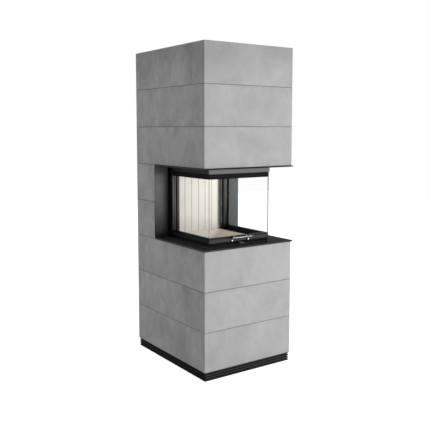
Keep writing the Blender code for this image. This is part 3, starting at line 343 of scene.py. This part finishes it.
def trowelled_concrete():
    """Cloudy grey that starts anew on each course, diagonal trowel strokes, fine pits and sand grain."""
    material = bpy.data.materials.new("trowelled_concrete")
    material.use_nodes = True
    tree = material.node_tree
    shader = tree.nodes["Principled BSDF"]
    place = add_node(tree, "TexCoord").outputs["Object"]
    height = add_node(tree, "SeparateXYZ", {0: place}).outputs["Z"]
    rise = add_maths(tree, "DIVIDE", add_maths(tree, "SUBTRACT", height, first_joint), course_height)
    course = add_maths(tree, "FLOOR", rise)
    away = {"X": add_maths(tree, "MULTIPLY", course, 5.3), "Z": add_maths(tree, "MULTIPLY", course, 2.1)}
    moved = add_vectors(tree, "ADD", place, add_node(tree, "CombineXYZ", away).outputs[0])

    cloud = add_noise(tree, moved, 3.6, detail=5, roughness=0.55, distortion=0.7)
    hung = add_vectors(tree, "MULTIPLY", moved, (11, 11, 8))
    patch = add_noise(tree, hung, 1, detail=3, roughness=0.6, distortion=0.9)
    turned = add_node(tree, "Mapping", {"Vector": moved, "Rotation": (0.25, 1.15, 0.15)}).outputs[0]
    drawn = add_vectors(tree, "MULTIPLY", turned, (4, 10, 10))
    stroke = add_noise(tree, drawn, 1, distortion=0.7)
    sand = add_noise(tree, moved, 420, detail=3, roughness=0.7)
    pits = pit_mask(tree, moved, 95, 0.12)

    shade = add_range(tree, cloud, 0.3, 0.72, 0.85, 1.12)
    for noise, swing in ((patch, 0.1), (stroke, 0.03), (sand, 0.03)):
        shade = add_maths(tree, "ADD", shade, spread(tree, noise, -swing, swing))
    shade = add_maths(tree, "SUBTRACT", shade, add_maths(tree, "MULTIPLY", pits, 0.25))
    contrast = add_range(tree, take_measure(tree, "facing"), front_look, side_look, 0.62, 1.2)
    off_mean = add_maths(tree, "SUBTRACT", shade, mean_shade)
    shade = add_maths(tree, "MULTIPLY_ADD", off_mean, contrast, mean_shade)

    part = add_maths(tree, "FRACT", rise)
    from_joint = add_maths(tree, "MINIMUM", part, add_maths(tree, "SUBTRACT", 1, part))
    joint = add_range(tree, from_joint, 0.007, 0.013, 0.62, 1)
    # The top face lies where a joint would be, and isn't darkened like one.
    top_face = add_maths(tree, "GREATER_THAN", height, near_top)
    shade = add_maths(tree, "MULTIPLY", shade, add_maths(tree, "MAXIMUM", joint, top_face))
    tree.links.new(scale_colour(tree, concrete_grey, shade), shader.inputs["Base Color"])
    tree.links.new(spread(tree, patch, 0.72, 0.88), shader.inputs["Roughness"])

    grain = add_maths(tree, "ADD", sand, add_maths(tree, "MULTIPLY", stroke, 0.8))
    relief = add_maths(tree, "SUBTRACT", grain, pits)
    bump = add_node(tree, "Bump", {"Height": relief, "Strength": 0.25, "Distance": 0.0005})
    tree.links.new(bump.outputs["Normal"], shader.inputs["Normal"])
    shader.inputs["Specular IOR Level"].default_value = 0.25
    return material


concrete = trowelled_concrete()
# Painted light: the faces that look to the front are painted lighter.
paint_light_by_facing(concrete, 1.12, 1)
# Painted shade: the concrete is painted darker towards the front.
shade_by(concrete, "depth", {-0.42: 0.93, -0.2: 1})
# Painted shade: the top course is painted darker towards the top, its top face too.
shade_by(concrete, "height", {1.77: 1, 2: 0.84})
courses = ["base_course_1", "base_course_2", "base_course_3", "rear_course_1", "rear_course_2",
           "top_course_1", "top_course_2", "top_course_3"]
finish_nodes(concrete, courses + ["top_cover"])


# Stand frame, lintel frame and feet
# Welded square tube with the blue-grey skin of the rolling mill. Four screwed feet of
# zinc-plated steel carry it.
def mill_group():
    """Bare rolled steel: blotches of scale, rolling lines along one axis, and a few scratches."""
    inputs = {"Colour": (0.3, 0.3, 0.3, 1), "Roughness": 0.5, "Stretch": (1, 1, 0.04)}
    tree, given, made = open_group("mill", inputs)
    place = add_node(tree, "TexCoord").outputs["Object"]
    stretched = add_vectors(tree, "MULTIPLY", place, given["Stretch"])
    lines = add_noise(tree, stretched, 380, detail=3, roughness=0.7)
    scratches = add_noise(tree, stretched, 1500, detail=1)
    scale = add_noise(tree, place, 14, detail=4, roughness=0.65, distortion=0.5)
    blotches = add_range(tree, scale, 0.35, 0.65, 0.78, 1.08)
    shade = add_maths(tree, "ADD", blotches, spread(tree, lines, -0.08, 0.08))
    tree.links.new(scale_colour(tree, given["Colour"], shade), made["Colour"])
    dull = add_range(tree, scale, 0.35, 0.65, 0.08, -0.05)
    gloss = add_maths(tree, "ADD", dull, spread(tree, lines, -0.05, 0.05))
    tree.links.new(add_maths(tree, "ADD", given["Roughness"], gloss), made["Roughness"])
    tree.links.new(add_maths(tree, "ADD", lines, scratches), made["Height"])
    return tree


mill = mill_group()


def bare_steel(name, colour, roughness, stretch, metallic=1):
    """Steel without paint; its rolling lines run along the axis with the small stretch."""
    values = {"Colour": (*colour, 1), "Roughness": roughness, "Stretch": stretch}
    return add_material(name, mill, values, Metallic=metallic)


tube_steel = bare_steel("tube_steel", (0.2, 0.205, 0.215), 0.5, (1, 0.05, 1), metallic=0.85)
finish_nodes(tube_steel, ["stand_frame", "lintel_frame"], edge=0.002)
zinc = bare_steel("zinc", (0.55, 0.56, 0.57), 0.36, (1, 1, 1))
finish_nodes(zinc, ["levelling_foot_1", "levelling_foot_2", "levelling_foot_3", "levelling_foot_4"])


# Plates under and over the opening
# Steel plate cut by laser and powder-coated satin black, a few millimetres proud of the
# concrete all round. The front edges are painted darker than the faces, as shade.
for name, front_light in (("lower_plate", 0.3), ("upper_plate", 0.1)):
    plate_black = painted(name + "_black", (0.075, 0.075, 0.075), roughness=0.2, peel=650, specular=0,
                          Metallic=0.5, Specular_Tint=(0.2, 0.2, 0.2, 1))
    # Painted shade: the front edges are painted darker.
    paint_light_by_facing(plate_black, front_light, 1)
    finish_nodes(plate_black, [name])


# Reveal panels and fascia
# Folded sheet in graphite lacquer that closes the sides of the recess, and the strip that
# hangs from the upper plate in front of the raised door.
for side, shade_at_foot in (("left", 0.2), ("right", 0.9)):
    graphite = painted("graphite_" + side, (0.122, 0.129, 0.131), roughness=0.5, peel=800, specular=0.12)
    # Painted shade: each panel is painted darker towards its foot, the left one much more than the right.
    shade_by(graphite, "height", {0.835: shade_at_foot, 1.147: 1})
    finish_nodes(graphite, ["reveal_panel_" + side])
fascia_grey = painted("fascia_grey", (0.15, 0.155, 0.16), roughness=0.5, peel=800, specular=0.12)
# Painted light and shade: the face that looks to the front is painted lighter, the others near black.
paint_light_by_facing(fascia_grey, 1.25, 0.2)
finish_nodes(fascia_grey, ["fascia"])


# Sill, firebox base, casing, hood, guide rails and columns
# Welded steel sheet in matt black stove paint. The guide rails are grey, and the columns beside
# the bricks taupe, with painted shade, black, in the gap between their lip and their flange.
stove_black = painted("stove_black", (0.005, 0.005, 0.005), roughness=0.55, peel=450, specular=0.06)
finish_nodes(stove_black, ["sill_frame", "firebox_base", "rear_casing", "smoke_hood"])
# Painted shade: the right rail and column are given darker colours than the left ones.
for side, rail, column in (("left", 0.16, 0.0084), ("right", 0.104, 0.0057)):
    rail_grey = painted("rail_grey_" + side, (rail, rail, rail), roughness=0.5, peel=450, specular=0.12)
    # Painted shade: each rail is painted darker towards its foot.
    shade_by(rail_grey, "height", {0.85: 0.1, 1.06: 1})
    finish_nodes(rail_grey, ["guide_rail_" + side])
    taupe = (column, column * 0.97, column * 0.92)
    column_taupe = painted("column_taupe_" + side, taupe, roughness=0.55, peel=450, specular=0.12)
    # Painted shade: the column is painted black in the gap between its lip and its flange, lighter on both.
    shade_by(column_taupe, "aside", {0.1864: 10, 0.1872: 0.6})
    shade_by(column_taupe, "aside", {0.1986: 1, 0.1994: 20})
    # Painted shade: each column is painted darker towards its foot.
    shade_by(column_taupe, "height", {0.85: 0.5, 1.02: 1})
    finish_nodes(column_taupe, ["inner_column_" + side])


# Air spigot and flue pipe
# Rolled and seam-welded tube: plain steel below for the outside air, painted steel above.
spigot_steel = bare_steel("spigot_steel", (0.4, 0.41, 0.42), 0.42, (1, 1, 0.05), metallic=0.95)
finish_nodes(spigot_steel, ["air_spigot"])
flue_black = painted("flue_black", (0.02, 0.02, 0.021), roughness=0.5, peel=400, specular=0.3)
finish_nodes(flue_black, ["flue_pipe"])


# Firebricks
# Pressed fireclay: two ivory back bricks with upright grooves, a plate of the same above them,
# and two speckled beige floor bricks.
def clay_group():
    """Fireclay: slow drifts of shade, grog specks of two sizes, and open pores."""
    inputs = {"Colour": (0.7, 0.7, 0.7, 1), "Roughness": 0.9, "Speck": 0.1}
    tree, given, made = open_group("clay", inputs)
    place = add_node(tree, "TexCoord").outputs["Object"]
    drift = add_noise(tree, place, 7, detail=3)
    grog = add_noise(tree, place, 240, detail=3, roughness=0.7)
    grain = add_noise(tree, place, 900)
    pores = pit_mask(tree, place, 170, 0.16)
    speck = add_maths(tree, "MULTIPLY", add_range(tree, grog, 0.36, 0.66, -1, 1), given["Speck"])
    dark = add_maths(tree, "MULTIPLY", pores, add_maths(tree, "MULTIPLY", given["Speck"], 2))
    shade = add_maths(tree, "ADD", spread(tree, drift, 0.95, 1.04), speck)
    shade = add_maths(tree, "SUBTRACT", shade, dark)
    tree.links.new(scale_colour(tree, given["Colour"], shade), made["Colour"])
    gloss = add_maths(tree, "SUBTRACT", given["Roughness"], spread(tree, grog, 0, 0.1))
    tree.links.new(gloss, made["Roughness"])
    relief = add_maths(tree, "SUBTRACT", add_maths(tree, "ADD", grog, grain), pores)
    tree.links.new(relief, made["Height"])
    return tree


clay = clay_group()


def fireclay(name, colour, speck, bump):
    """A brick's clay, with more or fewer specks and pores."""
    values = {"Colour": (*colour, 1), "Roughness": 0.92, "Speck": speck}
    return add_material(name, clay, values, bump, Specular_IOR_Level=0.2)


ivory = fireclay("ivory_fireclay", (0.86, 0.83, 0.785), speck=0.035, bump=0.35)
# Painted shade: the grooves in the back bricks are painted darker than their faces.
shade_by(ivory, "depth", {0.1618: 1, 0.1632: 0.45})
# Painted light: the clay is painted lighter towards the right end.
shade_by(ivory, "across", {0.09: 1, 0.16: 1.15})
finish_nodes(ivory, ["back_brick_left", "back_brick_right", "baffle_plate"])
beige = fireclay("beige_fireclay", (0.61, 0.54, 0.445), speck=0.18, bump=0.4)
# Painted light: the floor bricks are painted lighter and bluer on the rear left of a slanting line.
shade_by(beige, "slant", {0: (1.55, 1.63, 1.84), 0.06: 1})
finish_nodes(beige, ["floor_brick_1", "floor_brick_2"])


# Door rails and stiles
# U-shaped steel rails that clamp the three panes above and below, with the black glazing bead
# on the lower one, and two stiles at the back that run on the guides.
door_grey = painted("door_rail_paint", (0.052, 0.052, 0.053), roughness=0.45, peel=600, specular=0.12)
shade_by(door_grey, "height", {0.8516: 1, 0.852: 0.06})
# Painted shade: the faces that do not look to the front are painted darker.
paint_light_by_facing(door_grey, 1, 0.25)
finish_nodes(door_grey, ["door_lower_rail"])
finish_nodes(stove_black, ["door_upper_rail"])
for side, shade_at_foot in (("left", 0.1), ("right", 0.9)):
    stile_grey = painted("stile_grey_" + side, (0.112, 0.117, 0.12), roughness=0.5, peel=800, specular=0.12)
    # Painted shade: the faces that do not look to the front are painted near black.
    paint_light_by_facing(stile_grey, 1, 0.05)
    # Painted shadow: the outer edge of the left stile is painted near black.
    shade_by(stile_grey, "across", {-0.2399: 0.05, -0.2391: 1})
    # Painted shade: the left stile is painted darker than the right one.
    shade_by(stile_grey, "across", {-0.1: 0.62, 0.1: 1})
    # Painted shade: each stile is painted darker towards its foot, the left one more.
    shade_by(stile_grey, "height", {0.855: shade_at_foot, 1.063: 1})
    finish_nodes(stile_grey, ["rear_stile_" + side])


# Panes
# Three sheets of 4 mm ceramic glass butted at the front corners, their edges ground, so that
# each shows as a fine grey-green line. Black seals hold the front one and the left one.
def clear_glass():
    """Clear glass that light goes straight through, so that what is behind it stays lit."""
    material = bpy.data.materials.new("clear_glass")
    material.use_nodes = True
    tree = material.node_tree
    shader = tree.nodes["Principled BSDF"]
    shader.inputs["Base Color"].default_value = (0.985, 0.99, 0.985, 1)
    shader.inputs["IOR"].default_value = 1
    shader.inputs["Transmission Weight"].default_value = 1
    shader.inputs["Roughness"].default_value = 0
    clear = add_node(tree, "BsdfTransparent", {"Color": (0.97, 0.975, 0.97, 1)})
    path = add_node(tree, "LightPath").outputs
    passing = add_maths(tree, "MAXIMUM", path["Is Shadow Ray"], path["Is Diffuse Ray"])
    mixed = add_node(tree, "MixShader", {0: passing, 1: shader.outputs[0], 2: clear.outputs[0]})
    tree.links.new(mixed.outputs[0], tree.nodes["Material Output"].inputs["Surface"])
    return material


glass = clear_glass()
glass_edge = painted("ground_edge", (0.32, 0.34, 0.33), roughness=0.35, peel=900, specular=0.4)
ground_width = 0.0006


def new_piece(name, bm, body, slot, *materials):
    """A piece of the object made from a bmesh, with its materials and its body if one; its slot is not
    used.
    """
    piece = add_mesh(name, bm, *materials)
    if body:
        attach(piece, body)
    return piece


def add_pane(node, thin_axis, seal):
    """A pane in the place of its node: clear faces, ground edges, and a seal where it is held.

    It is held along its upper, lower and rear edges.
    """
    low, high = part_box(node)
    bm = bmesh.new()
    bmesh.ops.create_cube(bm, size=1)
    bmesh.ops.scale(bm, vec=high - low, verts=bm.verts)
    bmesh.ops.translate(bm, vec=(low + high) / 2, verts=bm.verts)
    bmesh.ops.bevel(bm, geom=bm.edges[:] + bm.verts[:], offset=ground_width, segments=2, profile=0.5,
                    affect="EDGES", material=-1)
    for face in bm.faces:
        clear = abs(face.normal[thin_axis]) > 0.99
        held = face.normal.y > 0.3 or abs(face.normal.z) > 0.3
        face.material_index = 0 if clear else 2 if held else 1
    pane = new_piece(node + "_glass", bm, "door", "door_glass", glass, glass_edge, seal)
    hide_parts(node)


add_pane("front_pane", thin_axis=1, seal=stove_black)
add_pane("side_pane_left", thin_axis=0, seal=stove_black)
add_pane("side_pane_right", thin_axis=0, seal=glass_edge)


# Handle
# A 9 mm bar of polished stainless steel with domed ends, in two collars. Each collar's arm comes
# from a leg that leans inwards and stands on a drop-shaped foot against the rail.
def polished_group():
    """Polished steel with faint turning lines and a little handling haze."""
    inputs = {"Colour": (0.75, 0.75, 0.75, 1), "Roughness": 0.12}
    tree, given, made = open_group("polished", inputs)
    place = add_node(tree, "TexCoord").outputs["Object"]
    haze = add_noise(tree, place, 45, detail=3, roughness=0.6, distortion=0.3)
    turned = add_node(tree, "Mapping", {"Vector": place, "Scale": (2500, 60, 60)}).outputs[0]
    shade = spread(tree, haze, 0.94, 1.04)
    tree.links.new(scale_colour(tree, given["Colour"], shade), made["Colour"])
    gloss = spread(tree, haze, -0.03, 0.08)
    tree.links.new(add_maths(tree, "ADD", given["Roughness"], gloss), made["Roughness"])
    tree.links.new(add_noise(tree, turned, 1), made["Height"])
    return tree


polish = polished_group()
# Painted shade: the bar's steel is made dark, so that its reflections show dim.
bar_values = {"Colour": (0.32, 0.32, 0.32, 1), "Roughness": 0.26}
polished = add_material("polished_steel", polish, bar_values, bump=0.05, depth=0.0001, Metallic=1)
# Painted highlight: the feet's steel is made near white, so that they glint.
foot_values = {"Colour": (0.96, 0.96, 0.96, 1), "Roughness": 0.28}
glint_steel = add_material("painted_glint_steel", polish, foot_values, bump=0.02, depth=0.0001, Metallic=1)

low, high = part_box("handle_bar")
bar_middle = (low + high) / 2
bar_radius = (high.z - low.z) / 2
bar_half = (high.x - low.x) / 2
dome_length = 0.0025
dome_steps = 4
profile = [(-bar_half, 0)]
for step in range(1, dome_steps + 1):
    turn = math.radians(90 / dome_steps * step)
    profile.append((dome_length * (1 - math.cos(turn)) - bar_half, bar_radius * math.sin(turn)))
profile += [(-x, radius) for x, radius in reversed(profile)]
bm = bmesh.new()
points = [bm.verts.new((x, bar_middle.y, bar_middle.z + radius)) for x, radius in profile]
edges = [bm.edges.new(pair) for pair in zip(points, points[1:])]
bmesh.ops.spin(bm, geom=points + edges, cent=bar_middle, axis=(1, 0, 0), angle=math.tau, steps=32,
               use_merge=True)
bmesh.ops.remove_doubles(bm, verts=bm.verts, dist=0.00001)
bmesh.ops.recalc_face_normals(bm, faces=bm.faces)
for face in bm.faces:
    face.smooth = True
bar = new_piece("handle_bar_polished", bm, "door", "polished_handle", polished)
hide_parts("handle_bar")


def add_rod(bm, start, end, radius):
    """A round rod between two points, with a half-round end."""
    along = end - start
    turned = along.to_track_quat("Z", "Y").to_matrix().to_4x4()
    bmesh.ops.create_cone(bm, cap_ends=True, segments=24, radius1=radius, radius2=radius,
                          depth=along.length, matrix=Matrix.Translation((start + end) / 2) @ turned)
    bmesh.ops.create_uvsphere(bm, u_segments=24, v_segments=12, radius=radius,
                              matrix=Matrix.Translation(end))


leg_radius = 0.0032
leg_top_place = 0.05
leg_top_drop = leg_radius * 1.2
foot_radius = 0.006
foot_stretch = 1.4
foot_place = 0.064
foot_shift = 0.001
foot_rise = 0.0052
collar_radius = 0.0062
collar_width = 0.009
collar_edge = 0.0008
collar_place = 0.057
arm_end = Vector((0, 0.004, 0))
quarter_turn = math.radians(90)
for side, sign in (("left", -1), ("right", 1)):
    low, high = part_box("handle_bracket_" + side)
    leg_y = high.y - foot_radius
    foot = Vector((sign * foot_place - foot_shift, leg_y, low.z + foot_rise))
    leg_top = Vector((sign * leg_top_place, leg_y, high.z - leg_top_drop))
    collar = Vector((sign * collar_place, bar_middle.y, bar_middle.z))
    bm = bmesh.new()
    ball = bmesh.ops.create_uvsphere(bm, u_segments=32, v_segments=20, radius=foot_radius)["verts"]
    bmesh.ops.scale(bm, vec=(1, 1, foot_stretch), verts=ball)
    bmesh.ops.translate(bm, vec=foot, verts=ball)
    for face in bm.faces:
        face.material_index = 1
    add_rod(bm, foot, leg_top, leg_radius)
    add_rod(bm, (foot + leg_top) / 2, collar + arm_end, leg_radius)
    along_bar = Matrix.Translation(collar) @ Matrix.Rotation(quarter_turn, 4, "Y")
    ring = bmesh.ops.create_cone(bm, cap_ends=True, segments=32, radius1=collar_radius,
                                 radius2=collar_radius, depth=collar_width, matrix=along_bar)["verts"]
    ring_edges = {edge for vert in ring for edge in vert.link_edges}
    rims = [edge for edge in ring_edges if len(edge.link_faces) == 2 and edge.calc_face_angle() > 1]
    bmesh.ops.bevel(bm, geom=rims, offset=collar_edge, segments=2, profile=0.5, affect="EDGES",
                    material=-1)
    for face in bm.faces:
        face.smooth = True
    bracket = new_piece("handle_bracket_polished_" + side, bm, "door", "polished_handle", polished, glint_steel)
    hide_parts("handle_bracket_" + side)


# Door lift
# Two yokes on the guide rails, two grooved wheels, steel cables and cast-iron weights. The
# weights go down as the door goes up.
bracket_zinc = bare_steel("bracket_zinc", (0.5, 0.51, 0.52), 0.38, (1, 1, 0.06))
finish_nodes(bracket_zinc, ["pulley_bracket_left", "pulley_bracket_right"], edge=0.0004)
finish_nodes(zinc, ["pulley_left", "pulley_right"])
strand = bare_steel("strand", (0.5, 0.5, 0.51), 0.35, (1, 1, 1))
finish_nodes(strand, ["cable_bend_left", "cable_bend_right"])

short_run = 0.1
ring_count = 48


def add_cable(node):
    """A straight run of cable in the place of its node, which stays put.

    A long run is cut into rings, and a short one has none.
    """
    low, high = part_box(node)
    centre = (low + high) / 2
    radius = (high.x - low.x) / 2
    bm = bmesh.new()
    bmesh.ops.create_cone(bm, cap_ends=True, segments=16, radius1=radius, radius2=radius,
                          depth=high.z - low.z)
    bmesh.ops.translate(bm, vec=centre, verts=bm.verts)
    upright = [edge for edge in bm.edges if abs(edge.verts[0].co.z - edge.verts[1].co.z) > short_run]
    bmesh.ops.subdivide_edges(bm, edges=upright, cuts=ring_count)
    for face in bm.faces:
        face.smooth = abs(face.normal.z) < 0.5
    cable = new_piece(node + "_strand", bm, None, "steel_cable", strand)
    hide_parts(node)
    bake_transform(cable)


for side in ("left", "right"):
    add_cable("door_cable_" + side)
    add_cable("weight_cable_" + side)


def cast_group():
    """Sand-cast iron: a pebbled skin with rusty patches."""
    inputs = {"Colour": (0.05, 0.05, 0.055, 1), "Roughness": 0.7}
    tree, given, made = open_group("cast", inputs)
    place = add_node(tree, "TexCoord").outputs["Object"]
    rust_colour = (0.12, 0.05, 0.025, 1)
    patches = add_noise(tree, place, 16, detail=5, roughness=0.65)
    rust = add_range(tree, patches, 0.52, 0.68, 0, 0.6)
    mixed = add_node(tree, "MixRGB", {"Fac": rust, "Color1": given["Colour"], "Color2": rust_colour})
    tree.links.new(mixed.outputs[0], made["Colour"])
    rough = add_maths(tree, "MULTIPLY", rust, 0.3)
    tree.links.new(add_maths(tree, "ADD", given["Roughness"], rough), made["Roughness"])
    tree.links.new(add_noise(tree, place, 260, detail=4, roughness=0.7), made["Height"])
    return tree


cast_values = {"Colour": (0.06, 0.06, 0.065, 1), "Roughness": 0.6}
cast_iron = add_material("cast_iron", cast_group(), cast_values, bump=0.5, depth=0.0006, Metallic=0.4)
finish_nodes(cast_iron, ["counterweight_left", "counterweight_right"])


# Air control
# A slotted steel slide under the front strip of the base, and the painted lever that comes out
# under the door to move it. Its light grey is painted light, for the light on its top, and its
# faces that look to the front are painted darker, as shade.
gate_steel = bare_steel("gate_steel", (0.42, 0.43, 0.44), 0.4, (0.05, 1, 1))
finish_nodes(gate_steel, ["air_gate"], edge=0.0003)
lever_painted_light = painted("lever_painted_light", (0.4, 0.4, 0.4), roughness=0.35, peel=700, specular=0.3)
# Painted shade: the faces that look to the front are painted darker.
paint_light_by_facing(lever_painted_light, 0.2, 1)
finish_nodes(lever_painted_light, ["air_lever"], edge=0.0005)
